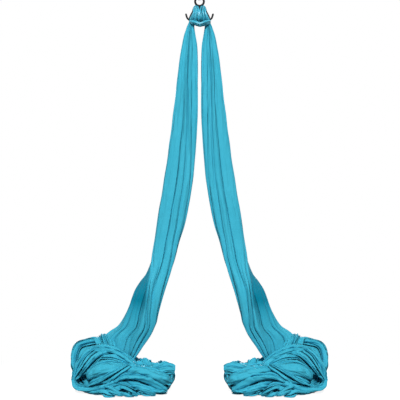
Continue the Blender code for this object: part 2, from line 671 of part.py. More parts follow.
def build_heap(name, side, finish):
    """The cloth on the floor: a pile under the tail, a rope round its front, and lobes between them."""
    centre, half_width, half_depth, turn = tail_sections()[-1]
    centre = centre - Vector((0, 0, GAP))
    pile = [(centre, half_width, half_depth, TAIL_FOLD_DEPTH)]
    for height, left, right, front, back in PILE_OUTLINE:
        middle = Vector(((left + right) / 2, (front + back) / 2, FLOOR + height))
        pile.append((middle, (right - left) / 2, (back - front) / 2, PILE_FOLD_DEPTH))
    rings = []
    for middle, half_width, half_depth, depth in pile:
        ring = fluted_ring(
            middle, X_AXIS, FORWARD, half_width, half_depth, turn, TAIL_SIDES, TAIL_FOLDS, depth
        )
        rings.append([mirrored(point, side) for point in ring])
    heap = add_object(name, loft(rings), finish, sharp=CLOTH_SHARP)

    path = smooth_path([(x, y, FLOOR + height) for x, y, height, _, _ in FRONT_ROPE], 2)
    sizes = smooth_path([(row[3], row[4], 0) for row in FRONT_ROPE], 2)
    rings = []
    for i, (point, tangent) in enumerate(zip(path, tangents(path))):
        deep = tangent.cross(Vector((0, 0, 1))).normalized()
        turn = ROPE_TWIST * i / (len(path) - 1)
        ring = fluted_ring(
            point,
            Vector((0, 0, 1)),
            deep,
            sizes[i][0],
            sizes[i][1],
            turn,
            ROPE_SIDES,
            ROPE_FOLDS,
            ROPE_FOLD_DEPTH,
        )
        rings.append([mirrored(p, side) for p in ring])
    combine(heap, add_object(name + "_rope", loft(rings)), "UNION", folded=True)

    for number, ((x, y, height), half) in enumerate(LOBES):
        lobe = bmesh.new()
        bmesh.ops.create_uvsphere(lobe, u_segments=LOBE_SEGMENTS[0], v_segments=LOBE_SEGMENTS[1], radius=1)
        bmesh.ops.scale(lobe, vec=half, verts=lobe.verts)
        bmesh.ops.translate(lobe, vec=mirrored((x, y, FLOOR + height), side), verts=lobe.verts)
        combine(heap, add_object(f"{name}_lobe_{number}", lobe), "UNION", folded=True)
    below_floor = box(
        (-FLOOR_CUTTER, -FLOOR_CUTTER, FLOOR - FLOOR_CUTTER), (FLOOR_CUTTER, FLOOR_CUTTER, FLOOR)
    )
    combine(heap, add_object(name + "_floor", below_floor), "DIFFERENCE", folded=True)
    return heap


def main():
    start_empty()
    silk = material("silk", SILK_COLOUR, 0.6, 0.0)
    black = material("black_anodised", BLACK_ANODISED, 0.35, 0.8)
    dark = material("dark_steel", DARK_STEEL, 0.35, 0.9)
    bright = material("bright_steel", BRIGHT_STEEL, 0.3, 1.0)

    build_carabiner_body(dark)
    build_gate(dark)
    build_rivet(bright)
    build_latch_pin(bright)
    build_plunger(bright)
    build_spring(bright)
    build_stop_ring(dark)
    build_sleeve(dark)
    build_eight("rescue_eight", 0.0, black)
    build_hitch(silk)
    build_tail("silk_tail_left", -1, silk)
    build_tail("silk_tail_right", 1, silk)
    build_heap("silk_heap_left", -1, silk)
    build_heap("silk_heap_right", 1, silk)


main()
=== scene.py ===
"""Looks of the aerial silks: the cloth as pleated sheets, and materials for the hardware.

Metres, +Z up, in the frame of the CAD part. The left half of the cloth is made and then mirrored.
"""

import math

import bpy
import numpy as np
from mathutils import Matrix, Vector


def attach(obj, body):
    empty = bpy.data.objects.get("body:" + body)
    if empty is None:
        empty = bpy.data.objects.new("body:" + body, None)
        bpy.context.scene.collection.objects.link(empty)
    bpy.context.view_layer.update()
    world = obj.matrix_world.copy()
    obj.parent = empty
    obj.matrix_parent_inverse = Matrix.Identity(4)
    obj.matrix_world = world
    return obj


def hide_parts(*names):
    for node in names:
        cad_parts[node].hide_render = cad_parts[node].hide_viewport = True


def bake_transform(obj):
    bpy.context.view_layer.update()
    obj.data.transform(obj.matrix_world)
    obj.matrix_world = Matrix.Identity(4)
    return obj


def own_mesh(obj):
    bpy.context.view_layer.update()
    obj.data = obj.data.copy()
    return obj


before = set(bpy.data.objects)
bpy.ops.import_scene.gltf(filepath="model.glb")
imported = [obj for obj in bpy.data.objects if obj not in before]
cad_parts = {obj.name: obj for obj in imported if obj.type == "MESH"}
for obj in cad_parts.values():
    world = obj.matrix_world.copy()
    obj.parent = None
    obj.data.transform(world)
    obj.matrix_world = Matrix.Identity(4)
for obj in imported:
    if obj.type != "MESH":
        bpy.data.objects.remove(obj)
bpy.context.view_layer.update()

# The camera: level, so a place in the photo and a depth give a place in the part's frame
CAMERA_X = 0.0025
CAMERA_Y = -4.5
CAMERA_Z = -1.095
LENS = 81.0
SENSOR_WIDTH = 36.0
PHOTO_MIDDLE = (200.0, 200.0)  # column and row of the photo that the camera looks at
PIXEL = 0.005  # metres to a pixel of the photo in the plane of the figure-8

FLOOR = -2.0375
FLOOR_BLEND = 0.012  # height above the floor within which the cloth flattens on it
CLOTH_CLEARANCE = 0.0012

NOISE_TABLE = 4096  # random values that the noise draws on
NOISE_PRIMES = np.array([73, 179, 283])
CURVE_STEPS = 24  # straight steps between two rows of a route

# A pleated section: each pleat is a ridge and the slit after it
RIDGE_POINTS = 11
RIDGE_START = 0.04  # share of a pleat's width where its ridge begins
RIDGE_SPAN = 0.90  # share of a pleat's width that its ridge takes up
RIDGE_RISES = (0.75, 1.3)  # least and most that a ridge has of its bulge
SLIT_SPAN = (0.955, 1.03)  # shares of a pleat's width between which its slit lies
SLIT_START = 0.80  # radius where a slit begins
SLIT_END = 0.78  # radius where it ends
SLIT_DEPTHS = (0.85, 1.2)  # least and most that a slit's foot has of its radius
SLIT_LEAN = 0.03  # turns to a unit of radius that a slit leans under the ridge before it
WALL_POINTS = 5  # points of a slit's wall that is WALL_DEPTH deep
WALL_DEPTH = 0.6
ZIGZAG_TOP = 0.62  # radius of the tops of the folds deep inside
ZIGZAG_TOPS = (0.9, 1.1)  # least and most that such a top has of it
EDGE_OPENING = 0.04  # turns left free between the first and the last pleat, at each end
PLEAT_WIDTHS = (0.35, 1.9)  # least and most width of a heap's pleat, before they share the round

# A bundle of cloth: its ends, and the cells of the noise that its folds follow
END_TAPER = 0.16  # share of the route along which a bundle narrows to its end
DRIFT_LENGTH = 0.25  # metres of the route to a cell of the folds' drift
DRIFT_CELLS = 6  # cells of drift round a bundle
SWELL_CELLS = (1.7, 1.0)  # cells of swell to a cell of drift, along and round
SWELL_OFFSET = 40
FADE_LENGTH = 0.11  # metres of a fold to a cell of its fading
FADE_CELLS = 0.8  # cells of fading to a pleat
FADE_MIDDLE = 0.5
FADE_SPREAD = 0.9
DEEPEST_FOLD = 1.15  # most that a fold has of its depth
CREASE_START = 0.72  # radius above which a ridge is creased
CREASE_RISE = 0.12
CREASE_WANDER = 0.6
WANDER_CELLS = 0.7
SWELL_SEED, FADE_SEED, LINE_SEED, WANDER_SEED = 1, 9, 30, 50  # added to the bundle's own

# The buckling of a heap's bundles
FOLD_CAP = 0.010  # metres that a fold may rise from the bundle; it may sink twice as far
BUCKLE_ROUNDS = 150
GROWING_SHARE = 0.6  # share of the rounds in which the cloth grows
BUCKLE_GRAIN = 0.030  # metres to a cell of the noise that starts the folds
BUCKLE_START = 0.25  # height of that noise, as a share of FOLD_CAP
EDGE_PULL = 0.22  # share of its misfit that an edge takes up at each end
BEND = 0.20  # share of its misfit that a bend takes up
HELD_RAMP = 6  # stations from an end over which the cloth comes free
HELD_SHARE = 0.2  # part of the ramp that stays held


def place(column, row, depth):
    """The point at that depth along Y that the camera sees at a column and row of the photo."""
    scale = PIXEL * (depth - CAMERA_Y) / -CAMERA_Y
    x = CAMERA_X + (column - PHOTO_MIDDLE[0]) * scale
    z = CAMERA_Z + (PHOTO_MIDDLE[1] - row) * scale
    return (x, depth, z)


def place_rows(rows):
    """A route in metres from rows of column, row, depth, half width in pixels and half depth in metres."""
    return np.array([(*place(c, r, y), half * PIXEL, depth) for c, r, y, half, depth in rows])


def smooth_noise(points, seed):
    """Smooth noise from -1 to 1 at points of two or three coordinates, one cell to a unit."""
    table = np.random.default_rng(seed).uniform(-1, 1, NOISE_TABLE)
    base = np.floor(points).astype(int)
    part = points - base
    part = part * part * (3 - 2 * part)
    out = np.zeros(len(points))
    dims = points.shape[1]
    for corner in range(2**dims):
        bits = np.array([(corner >> k) & 1 for k in range(dims)])
        weight = np.prod(np.where(bits, part, 1 - part), axis=1)
        out += weight * table[((base + bits) @ NOISE_PRIMES[:dims]) % NOISE_TABLE]
    return out


def catmull(rows, count):
    """That many points, evenly spaced along a smooth curve through the rows by their first three values."""
    rows = np.asarray(rows, float)
    ends = np.vstack([2 * rows[0] - rows[1], rows, 2 * rows[-1] - rows[-2]])
    t = np.arange(CURVE_STEPS)[:, None] / CURVE_STEPS
    fine = []
    for a, b, c, d in zip(ends, ends[1:], ends[2:], ends[3:]):
        fine.append(
            0.5 * (2 * b + (c - a) * t + (2 * a - 5 * b + 4 * c - d) * t**2 + (3 * b - a - 3 * c + d) * t**3)
        )
    fine = np.vstack([*fine, rows[-1:]])
    travelled = np.concatenate([[0], np.cumsum(np.linalg.norm(np.diff(fine[:, :3], axis=0), axis=1))])
    wanted = np.linspace(0, travelled[-1], count)
    return np.column_stack([np.interp(wanted, travelled, fine[:, k]) for k in range(rows.shape[1])]), wanted


def unit(vectors):
    return vectors / np.linalg.norm(vectors, axis=-1, keepdims=True)


def pleat_pattern(pleats, zigzags, seed, bulge, slit, lowest, crisp, tilt):
    """How the points of a pleated section lie, from one edge of the cloth to the other.

    Gives for each point its pleat, its share of the way through it, its radius, and how far it is
    moved round in turns. A ridge is at least lowest high, falls by bulge to its sides, the later the
    more crisp it is, and has its top up to tilt off its middle. Between two ridges the cloth runs in
    to the radius slit and out again, and it folds zigzags more times deep inside.
    """
    rng = np.random.default_rng(seed)
    pleat, share, radius, shift = [], [], [], []
    for k in range(pleats):
        top = rng.uniform(lowest, 1.0)
        rise = bulge * rng.uniform(*RIDGE_RISES)
        middle = 0.5 + tilt * rng.uniform(-1, 1)
        for t in np.linspace(0, 1, RIDGE_POINTS):
            off = (t - middle) / (1 - middle) if t > middle else (middle - t) / middle
            pleat.append(k)
            share.append(RIDGE_START + RIDGE_SPAN * t)
            radius.append(top * (1 - rise * off**crisp))
            shift.append(0.0)
        if k == pleats - 1:
            break
        deep = slit * rng.uniform(*SLIT_DEPTHS)
        turns = zigzags if np.isscalar(zigzags) else zigzags[k]
        stops = [SLIT_START]
        for _ in range(turns):
            stops += [deep, ZIGZAG_TOP * rng.uniform(*ZIGZAG_TOPS)]
        stops += [deep, SLIT_END]
        spread = np.linspace(*SLIT_SPAN, len(stops))
        for (a0, r0), (a1, r1) in zip(zip(spread, stops), zip(spread[1:], stops[1:])):
            count = max(2, round(WALL_POINTS * abs(r1 - r0) / WALL_DEPTH))
            for t in np.linspace(0, 1, count, endpoint=False):
                r = r0 + (r1 - r0) * t
                pleat.append(k)
                share.append(a0 + (a1 - a0) * t)
                radius.append(r)
                shift.append(-SLIT_LEAN * (SLIT_START - r))
    return np.array(pleat), np.array(share), np.array(radius), np.array(shift)


def random_edges(pleats, seed):
    """The angles in turns where pleats of uneven width begin and end, the same along the route."""
    widths = np.random.default_rng(seed).uniform(*PLEAT_WIDTHS, pleats)
    return EDGE_OPENING + (1 - 2 * EDGE_OPENING) * np.concatenate([[0], np.cumsum(widths)]) / widths.sum()


def on_floor(points):
    """The same points, with those near or below the floor flattened on it in their order of height."""
    z = points[..., 2]
    edge = FLOOR + CLOTH_CLEARANCE + FLOOR_BLEND
    low = z < edge
    z[low] = edge - FLOOR_BLEND + FLOOR_BLEND * np.exp((z[low] - edge) / FLOOR_BLEND)
    return points


def sheet_mesh(name, grid, metres_across, metres_along, painted_shade=None):
    """A mesh object from a grid of points, with UVs in metres of the flat cloth.

    The last argument, 0 to 1 at each point, is painted shade: there the material mixes in a darker colour
    that stands in for the shade on the tails' wings, where they turn away from the light.
    """
    rows, columns = grid.shape[:2]
    index = np.arange(rows * columns).reshape(rows, columns)
    faces = np.stack([index[:-1, :-1], index[:-1, 1:], index[1:, 1:], index[1:, :-1]], axis=-1).reshape(-1, 4)
    mesh = bpy.data.meshes.new(name)
    mesh.vertices.add(rows * columns)
    mesh.vertices.foreach_set("co", grid.reshape(-1).astype(np.float32))
    mesh.loops.add(faces.size)
    mesh.loops.foreach_set("vertex_index", faces.reshape(-1).astype(np.int32))
    mesh.polygons.add(len(faces))
    mesh.polygons.foreach_set("loop_start", np.arange(0, faces.size, 4, dtype=np.int32))
    mesh.polygons.foreach_set("loop_total", np.full(len(faces), 4, np.int32))
    mesh.update(calc_edges=True)
    across, along = np.meshgrid(metres_across, metres_along)
    uv = np.stack([across, along], axis=-1).reshape(-1, 2)
    layer = mesh.uv_layers.new(name="cloth")
    layer.data.foreach_set("uv", uv[faces.reshape(-1)].reshape(-1).astype(np.float32))
    if painted_shade is not None:
        values = mesh.attributes.new("painted_shade", "FLOAT", "POINT").data
        values.foreach_set("value", painted_shade.ravel().astype(np.float32))
    mesh.shade_smooth()
    made = bpy.data.objects.new(name, mesh)
    bpy.context.collection.objects.link(made)
    return made


def bundle_grid(
    route, pattern, edges, stations, warp, ripple, creases, seed, turn=(0.0, 0.0), power=2.0,
    facing=(0, -1, 0), side=None, tuck=1.0, fade=0.0, skew=0.0, deepen=1.0,
):
    """Points of a gathered bundle of cloth along a route of (x, y, z, half width, half depth).

    The half width lies along side, or else across the route and square to facing, and the half depth
    towards the front. edges are the angles in turns between pleats, alike all along or one row to a
    station. warp and ripple are how far the folds drift and swell, turn the turns that they wind at
    the start and the end, and power how square the section is. creases are (height, size across, size
    along) of fine folds, in metres. tuck is the share of its size that the bundle keeps at its two
    ends. fade is how much of their depth folds lose here and there, skew how far fine folds lean,
    and deepen scales the folds' depth, for all or by station. Also gives the metres travelled along
    the route and across the flat cloth.
    """
    rows, travelled = catmull(route, stations)
    centre = rows[:, :3]
    to_end = np.clip(np.minimum(travelled, travelled[-1] - travelled) / (END_TAPER * travelled[-1]), 0, 1)
    kept = tuck + (1 - tuck) * np.sin(to_end * math.pi / 2)
    half_width = rows[:, 3] * kept
    half_depth = rows[:, 4] * kept
    tangent = unit(np.gradient(centre, axis=0))
    if side is None:
        side = unit(np.cross(tangent, np.broadcast_to(np.asarray(facing, float), tangent.shape)))
    else:
        side = np.broadcast_to(np.asarray(side, float), tangent.shape)
    front = unit(np.cross(side, tangent))

    pleat, share, radius, shift = pattern
    edges = np.broadcast_to(edges, (stations, np.shape(edges)[-1]))
    start = edges[:, pleat]
    angle = start + (edges[:, pleat + 1] - start) * share + shift
    way = np.linspace(0, 1, stations)
    lengthwise = np.broadcast_to(travelled[:, None], angle.shape)

    def noise(cells, own_seed):
        return smooth_noise(cells, own_seed).reshape(angle.shape)

    cells = np.column_stack([lengthwise.ravel() / DRIFT_LENGTH, angle.ravel() * DRIFT_CELLS])
    drift = warp * noise(cells, seed)
    swell = 1 + ripple * noise(cells * SWELL_CELLS + SWELL_OFFSET, seed + SWELL_SEED)
    theta = 2 * math.pi * (angle + drift + (turn[0] + (turn[1] - turn[0]) * way)[:, None])
    lane = np.broadcast_to(FADE_CELLS * (pleat + share), angle.shape)
    lane = noise(np.column_stack([lengthwise.ravel() / FADE_LENGTH, lane.ravel()]), seed + FADE_SEED)
    deep = np.clip(1 - fade * (FADE_MIDDLE + FADE_SPREAD * lane), 0, DEEPEST_FOLD)
    deep = deep * np.broadcast_to(deepen, stations)[:, None]
    size = (1 - (1 - radius[None, :]) * deep) * swell
    cosine = np.cos(theta)
    sine = np.sin(theta)
    round_off = (np.abs(cosine) ** power + np.abs(sine) ** power) ** (-1 / power)
    mean = np.sqrt(half_width * half_depth)[:, None]

    run = np.hypot(np.diff(size * cosine, axis=1), np.diff(size * sine, axis=1)) * mean
    across_flat = np.concatenate([np.zeros((stations, 1)), np.cumsum(run, axis=1)], axis=1)
    across_flat = np.mean(across_flat, axis=0)
    on_ridge = np.clip((radius - CREASE_START) / CREASE_RISE, 0, 1)[None, :]
    for number, (height, wide, long) in enumerate(creases):
        cross = np.broadcast_to(across_flat, angle.shape).ravel() + skew * (-1) ** number * lengthwise.ravel()
        where = np.column_stack([lengthwise.ravel() / long, cross / wide])
        where += CREASE_WANDER * smooth_noise(where * WANDER_CELLS, seed + WANDER_SEED + number)[:, None]
        line = np.abs(noise(where, seed + LINE_SEED + number))
        # Ridges and grooves in turn, both nearly level on the whole
        line = line**0.75 - 0.4 if number % 2 else 0.35 - line
        size = size + on_ridge * height * line / mean

    across = half_width[:, None] * size * cosine * round_off
    towards = half_depth[:, None] * size * sine * round_off
    grid = centre[:, None, :] + side[:, None, :] * across[..., None] + front[:, None, :] * towards[..., None]
    return grid, travelled, across_flat


def normals(grid):
    return unit(np.cross(np.gradient(grid, axis=0), np.gradient(grid, axis=1)) + 1e-12)


def crumple(grid, along, across, seed):
    """The cloth of a bundle after it has grown by these shares and buckled into folds.

    Points are moved by their edges, shear and stiffness, round by round, and the two ends stay.
    """
    outward = normals(grid)
    middle = grid.mean(axis=1, keepdims=True)
    if np.sum(outward * (grid - middle)) < 0:
        outward = -outward
    start = grid.copy()
    noise = smooth_noise(start.reshape(-1, 3) / BUCKLE_GRAIN, seed).reshape(start.shape[:2])
    points = start + outward * (BUCKLE_START * FOLD_CAP * noise)[..., None]
    every, later, earlier = slice(None), slice(1, None), slice(None, -1)
    pairs = (
        ((every, later), (every, earlier), across),
        ((later, every), (earlier, every), along),
        ((later, later), (earlier, earlier), (along + across) / 2),
        ((later, earlier), (earlier, later), (along + across) / 2),
    )
    rest = [np.linalg.norm(start[a] - start[b], axis=-1, keepdims=True) for a, b, _ in pairs]
    here, ahead, behind = slice(1, -1), slice(2, None), slice(None, -2)
    threes = (((every, here), (every, ahead), (every, behind)), ((here,), (ahead,), (behind,)))
    curves = [start[b] + start[c] - 2 * start[a] for a, b, c in threes]
    station = np.arange(len(grid))
    free = np.clip(np.minimum(station, station[::-1]) / HELD_RAMP - HELD_SHARE, 0, 1)[:, None, None]
    for turn in range(BUCKLE_ROUNDS):
        grown = min(1.0, (turn + 1) / (GROWING_SHARE * BUCKLE_ROUNDS))
        for (a, b, growth), length in zip(pairs, rest):
            gap = points[a] - points[b]
            now = np.linalg.norm(gap, axis=-1, keepdims=True) + 1e-9
            push = gap * (EDGE_PULL * (length * (1 + growth * grown) / now - 1))
            points[a] += push
            points[b] -= push
        for (a, b, c), curve in zip(threes, curves):
            stiff = BEND * (points[b] + points[c] - 2 * points[a] - curve)
            points[a] += 0.5 * stiff
            points[b] -= 0.25 * stiff
            points[c] -= 0.25 * stiff
        moved = (points - start) * free
        out = np.sum(moved * outward, axis=-1, keepdims=True)
        sink = 2 * FOLD_CAP
        capped = np.where(out > 0, FOLD_CAP * np.tanh(out / FOLD_CAP), sink * np.tanh(out / sink))
        points = start + moved + outward * (capped - out)
    return points


def mirror_grid(grid):
    other = grid.copy()
    other[..., 0] *= -1
    return other


# Materials
SILK_DARK = (0.040, 0.410, 0.570)
SILK_LIGHT = (0.062, 0.475, 0.640)
# Painted shade: the darker colour mixed into the silk on the tails' wings, where they turn away from the
# light
SILK_PAINTED_SHADE = (0.003, 0.215, 0.328)
SILK_SHEEN = (0.20, 0.80, 1.0, 1.0)
METAL_WORN = 0.25  # how far the roughness of metal varies, as a share of it


def set_inputs(node, values):
    for socket, value in values.items():
        node.inputs[socket].default_value = value


def add_node(tree, kind, inputs=None, **settings):
    """A shader node with these settings, and with values on some of its inputs."""
    made = tree.nodes.new("ShaderNode" + kind)
    for name, value in settings.items():
        setattr(made, name, value)
    set_inputs(made, inputs or {})
    return made


def new_material(name):
    made = bpy.data.materials.new(name)
    made.use_nodes = True
    return made, made.node_tree, made.node_tree.links.new


def silk_material(name, dark, light, wrinkles, wrinkle_height, roughness=0.42, specular=0.03):
    """Knitted nylon. wrinkles are the cells of fine folds to a metre, across and along the cloth."""
    made, tree, link = new_material(name)
    shader = tree.nodes["Principled BSDF"]
    set_inputs(shader, {"Roughness": roughness, "Specular IOR Level": specular})
    set_inputs(shader, {"Sheen Weight": 0.03, "Sheen Roughness": 0.45, "Sheen Tint": SILK_SHEEN})
    uv = add_node(tree, "UVMap", uv_map="cloth")
    where = add_node(tree, "TexCoord")

    blotch = add_node(tree, "TexNoise", {"Scale": 9.0, "Detail": 3.0})
    link(where.outputs["Object"], blotch.inputs["Vector"])
    shade = add_node(tree, "Mix", {"A": (*dark, 1.0), "B": (*light, 1.0)}, data_type="RGBA")
    link(blotch.outputs["Fac"], shade.inputs["Factor"])
    # Painted shade: the mesh attribute, set on the tails' wings, mixes the colour towards a darker tone
    painted_shade = add_node(tree, "Attribute", attribute_name="painted_shade")
    deeper = add_node(tree, "Mix", {"B": (*SILK_PAINTED_SHADE, 1.0)}, data_type="RGBA")
    link(painted_shade.outputs["Fac"], deeper.inputs["Factor"])
    link(shade.outputs["Result"], deeper.inputs["A"])

    ribs = add_node(
        tree,
        "TexWave",
        {"Scale": 160.0, "Distortion": 0.6, "Detail": 1.0},
        wave_type="BANDS",
        bands_direction="X",
    )
    link(uv.outputs["UV"], ribs.inputs["Vector"])
    loops = add_node(
        tree, "TexWave", {"Scale": 190.0, "Distortion": 0.8}, wave_type="BANDS", bands_direction="Y"
    )
    link(uv.outputs["UV"], loops.inputs["Vector"])
    knit = add_node(tree, "Math", operation="MULTIPLY")
    link(ribs.outputs["Fac"], knit.inputs[0])
    link(loops.outputs["Fac"], knit.inputs[1])
    weave = add_node(tree, "Mix", {"Factor": 0.10}, data_type="RGBA", blend_type="MULTIPLY")
    link(deeper.outputs["Result"], weave.inputs["A"])
    link(knit.outputs["Value"], weave.inputs["B"])
    link(weave.outputs["Result"], shader.inputs["Base Color"])

    rumples = add_node(tree, "TexNoise", {"Scale": 26.0, "Detail": 4.0, "Roughness": 0.55})
    link(where.outputs["Object"], rumples.inputs["Vector"])
    soft = add_node(tree, "Bump", {"Strength": 0.22, "Distance": 0.012})
    link(rumples.outputs["Fac"], soft.inputs["Height"])

    # Thin creases, where the noise passes its middle
    cells = add_node(tree, "VectorMath", {1: (*wrinkles, 1.0)}, operation="MULTIPLY")
    link(uv.outputs["UV"], cells.inputs[0])
    ridges = add_node(
        tree, "TexNoise", {"Scale": 1.0, "Detail": 1.5, "Distortion": 0.6}, noise_dimensions="2D"
    )
    link(cells.outputs["Vector"], ridges.inputs["Vector"])
    centred = add_node(tree, "Math", {1: 0.5}, operation="SUBTRACT")
    link(ridges.outputs["Fac"], centred.inputs[0])
    sharp = add_node(tree, "Math", operation="ABSOLUTE")
    link(centred.outputs["Value"], sharp.inputs[0])
    lines = add_node(tree, "Bump", {"Strength": 1.0, "Distance": wrinkle_height}, invert=True)
    link(sharp.outputs["Value"], lines.inputs["Height"])
    link(soft.outputs["Normal"], lines.inputs["Normal"])

    fine = add_node(tree, "Bump", {"Strength": 0.12, "Distance": 0.0004})
    link(knit.outputs["Value"], fine.inputs["Height"])
    link(lines.outputs["Normal"], fine.inputs["Normal"])
    link(fine.outputs["Normal"], shader.inputs["Normal"])
    return made


def metal_material(name, dark, light, roughness, metallic, specular=0.5):
    """Metal with small differences of colour and roughness."""
    made, tree, link = new_material(name)
    shader = tree.nodes["Principled BSDF"]
    set_inputs(shader, {"Metallic": metallic, "Specular IOR Level": specular})
    where = add_node(tree, "TexCoord")
    grain = add_node(tree, "TexNoise", {"Scale": 60.0, "Detail": 5.0})
    link(where.outputs["Object"], grain.inputs["Vector"])
    tone = add_node(tree, "Mix", {"A": (*dark, 1.0), "B": (*light, 1.0)}, data_type="RGBA")
    link(grain.outputs["Fac"], tone.inputs["Factor"])
    link(tone.outputs["Result"], shader.inputs["Base Color"])
    rough = add_node(
        tree, "MapRange", {"To Min": roughness * (1 - METAL_WORN), "To Max": roughness * (1 + METAL_WORN)}
    )
    link(grain.outputs["Fac"], rough.inputs["Value"])
    link(rough.outputs["Result"], shader.inputs["Roughness"])
    fine = add_node(tree, "TexNoise", {"Scale": 900.0, "Detail": 2.0})
    link(where.outputs["Object"], fine.inputs["Vector"])
    bump = add_node(tree, "Bump", {"Strength": 0.08, "Distance": 0.0003})
    link(fine.outputs["Fac"], bump.inputs["Height"])
    link(bump.outputs["Normal"], shader.inputs["Normal"])
    return made


SILK_HANGING = silk_material("silk_hanging", SILK_DARK, SILK_LIGHT, (60, 3), 0.012)
SILK_LAID = silk_material("silk_laid", SILK_DARK, SILK_LIGHT, (34, 9), 0.022)
# Partly painted shade: tight cloth with more gloss, in colours a little darker than the hanging silk's, which
# stand in for less light on the hitch
SILK_STRETCHED_PAINTED_SHADE = silk_material(
    "silk_stretched_painted_shade", (0.034, 0.370, 0.520), (0.052, 0.440, 0.600), (60, 9), 0.016,
    roughness=0.38, specular=0.50,
)
DARK_STEEL = metal_material(
    "steel_black_zinc", (0.024, 0.018, 0.017), (0.042, 0.033, 0.030), 0.42, 0.3, specular=0.3
)
BRIGHT_STEEL = metal_material("steel_bright", (0.42, 0.43, 0.44), (0.60, 0.61, 0.63), 0.28, 1.0)
BLACK = metal_material(
    "aluminium_black", (0.003, 0.003, 0.004), (0.007, 0.007, 0.009), 0.50, 0.0, specular=0.12
)

for node, finish in {
    "carabiner_body": DARK_STEEL,
    "carabiner_gate": DARK_STEEL,
    "gate_hinge_rivet": BRIGHT_STEEL,
    "gate_latch_pin": BRIGHT_STEEL,
    "gate_plunger": BRIGHT_STEEL,
    "gate_spring": BRIGHT_STEEL,
    "sleeve_stop_ring": DARK_STEEL,
    "locking_sleeve": DARK_STEEL,
    "rescue_eight": BLACK,
}.items():
    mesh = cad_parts[node].data
    mesh.materials.clear()
    mesh.materials.append(finish)


def add_cloth(name, grid, across_flat, travelled, finish, painted_shade=None):
    made = sheet_mesh(name, grid, across_flat, travelled, painted_shade)
    made.data.materials.append(finish)
    return made


# Tails: photo row, left and right edge (photo columns), half depth in metres
TAIL_ROWS = [
    (18, 189.6, 197.2, 0.010),
    (22, 188.8, 196.0, 0.012),
    (26, 187.0, 194.4, 0.014),
    (30, 185.6, 194.8, 0.016),
    (36, 183.5, 195.8, 0.019),
    (46, 181.3, 197.4, 0.024),
    (60, 178.9, 197.9, 0.028),
    (82, 176.4, 198.0, 0.031),
    (98, 175.3, 197.9, 0.032),
    (114, 173.3, 197.5, 0.033),
    (130, 171.3, 196.7, 0.034),
    (146, 168.5, 195.7, 0.035),
    (162, 166.3, 194.6, 0.036),
    (178, 163.6, 193.5, 0.037),
    (194, 161.3, 191.3, 0.038),
    (210, 158.4, 188.2, 0.039),
    (226, 156.2, 184.8, 0.039),
    (242, 154.1, 180.0, 0.039),
    (258, 151.3, 176.3, 0.042),
    (266, 149.2, 174.0, 0.046),
    (274, 145.6, 171.7, 0.052),
    (282, 140.2, 168.8, 0.059),
    (290, 135.4, 165.8, 0.064),
    (298, 132.0, 163.0, 0.067),
    (306, 129.0, 160.4, 0.069),
    (314, 125.2, 158.2, 0.070),
    (322, 121.2, 156.6, 0.068),
    (328, 116.6, 154.2, 0.066),
    (333, 109.0, 152.0, 0.062),
    (339, 103.0, 148.2, 0.056),
    (346, 102.0, 143.2, 0.050),
    (354, 103.0, 138.0, 0.044),
    (362, 105.0, 132.0, 0.036),
]

# Angles in turns of the edges of the left tail's pleats, row by row: 0 left, 0.25 front, 0.5 right
TAIL_PLEATS = [
    (18, -0.170, -0.115, -0.060, 0.000, 0.060, 0.150, 0.235, 0.330, 0.40, 0.47, 0.54, 0.61, 0.68, 0.76),
    (40, -0.175, -0.120, -0.065, -0.005, 0.055, 0.170, 0.243, 0.345, 0.41, 0.48, 0.55, 0.62, 0.69, 0.77),
    (60, -0.180, -0.125, -0.070, -0.010, 0.050, 0.181, 0.247, 0.349, 0.42, 0.49, 0.56, 0.63, 0.70, 0.77),
    (109, -0.200, -0.145, -0.090, -0.030, 0.030, 0.215, 0.277, 0.359, 0.45, 0.52, 0.59, 0.65, 0.71, 0.77),
    (160, -0.220, -0.165, -0.110, -0.050, 0.010, 0.228, 0.322, 0.450, 0.52, 0.58, 0.63, 0.67, 0.71, 0.755),
    (195, -0.225, -0.170, -0.115, -0.055, 0.000, 0.233, 0.330, 0.480, 0.55, 0.60, 0.64, 0.68, 0.715, 0.75),
    (238, -0.220, -0.165, -0.110, -0.055, 0.000, 0.236, 0.363, 0.510, 0.57, 0.61, 0.65, 0.685, 0.72, 0.755),
    (255, -0.210, -0.150, -0.080, -0.020, 0.040, 0.243, 0.390, 0.520, 0.58, 0.62, 0.66, 0.695, 0.73, 0.765),
    (273, -0.200, -0.120, -0.020, 0.080, 0.150, 0.250, 0.415, 0.530, 0.59, 0.63, 0.67, 0.70, 0.735, 0.775),
    (291, -0.170, -0.070, 0.050, 0.195, 0.245, 0.300, 0.450, 0.540, 0.60, 0.64, 0.68, 0.72, 0.76, 0.80),
    (307, -0.130, -0.020, 0.090, 0.209, 0.290, 0.350, 0.475, 0.550, 0.61, 0.65, 0.69, 0.74, 0.79, 0.84),
    (325, -0.090, 0.020, 0.130, 0.247, 0.346, 0.405, 0.490, 0.560, 0.62, 0.67, 0.72, 0.77, 0.82, 0.88),
    (350, -0.070, 0.050, 0.170, 0.275, 0.370, 0.425, 0.500, 0.570, 0.63, 0.68, 0.73, 0.78, 0.83, 0.90),
]
TAIL_ZIGZAGS = (1, 1, 1, 2, 2, 2, 2, 1, 1, 1, 1, 1)  # folds inside the slit after each pleat
TAIL_STATIONS = 230
TAIL_BLUR = 11  # stations over which the pleats' edges are smoothed

TAIL_TOP_DEPTH = -0.022  # where the tails leave the hitch, along Y
TAIL_FORWARD = 0.028  # how far they come forward below FORWARD_ROW, within FORWARD_ROWS
FORWARD_ROW = 250
FORWARD_ROWS = 50
FOOT_ROW = 322  # from here down a tail goes back by FOOT_LEAN metres to a row
FOOT_LEAN = 0.0004
TAIL_FULLER = 0.05  # share by which a tail is wider than its outline, from FULLER_ROWS below its top
FULLER_ROWS = 80

